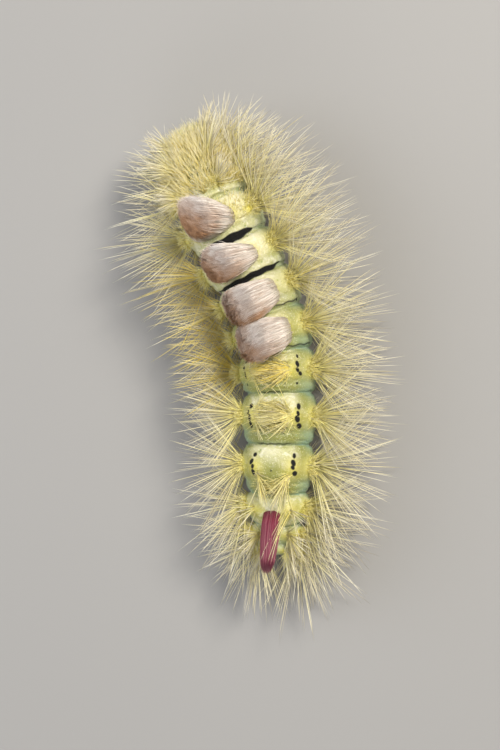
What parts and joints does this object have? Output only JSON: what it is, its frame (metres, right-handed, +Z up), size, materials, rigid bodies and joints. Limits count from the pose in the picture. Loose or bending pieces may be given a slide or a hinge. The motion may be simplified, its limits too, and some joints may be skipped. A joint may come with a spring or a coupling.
{
  "type": "pale tussock larva",
  "caption": "Still life-size model of a hairy tussock moth larva, bent to its left, with four dorsal brushes and a red tail pencil.",
  "frame": {"origin": "on the floor, below the middle of the bounding box, hair included", "axes": "+Y from the tail to the head end, +Z up, +X to the larva's right"},
  "size_m": [0.0308, 0.0534, 0.015],
  "materials": {
    "skin": "soft, slightly moist skin, pale lemon with blue-green folds, and lemon hair",
    "head_shell": "smooth horny shell",
    "mouth_horn": "dark polished horn",
    "brush_hair": "silky whitish hair with brown tips",
    "pencil_hair": "crimson hair"
  },
  "bodies": {
    "root": {"head": "head_shell", "labrum": "head_shell", "mandible_left": "mouth_horn", "mandible_right": "mouth_horn", "feeler_left": "head_shell", "feeler_right": "head_shell", "thorax_1": "skin", "thorax_2": "skin", "thorax_3": "skin", "abdomen_1": "skin", "abdomen_2": "skin", "abdomen_3": "skin", "abdomen_4": "skin", "abdomen_5": "skin", "abdomen_6": "skin", "abdomen_7": "skin", "abdomen_8": "skin", "abdomen_9": "skin", "abdomen_10": "skin", "leg_1_left": "skin", "leg_1_right": "skin", "leg_2_left": "skin", "leg_2_right": "skin", "leg_3_left": "skin", "leg_3_right": "skin", "proleg_3_left": "skin", "proleg_3_right": "skin", "proleg_4_left": "skin", "proleg_4_right": "skin", "proleg_5_left": "skin", "proleg_5_right": "skin", "proleg_6_left": "skin", "proleg_6_right": "skin", "anal_proleg_left": "skin", "anal_proleg_right": "skin", "brush_1": "brush_hair", "brush_2": "brush_hair", "brush_3": "brush_hair", "brush_4": "brush_hair", "tail_pencil": "pencil_hair"}
  },
  "joints": []
}
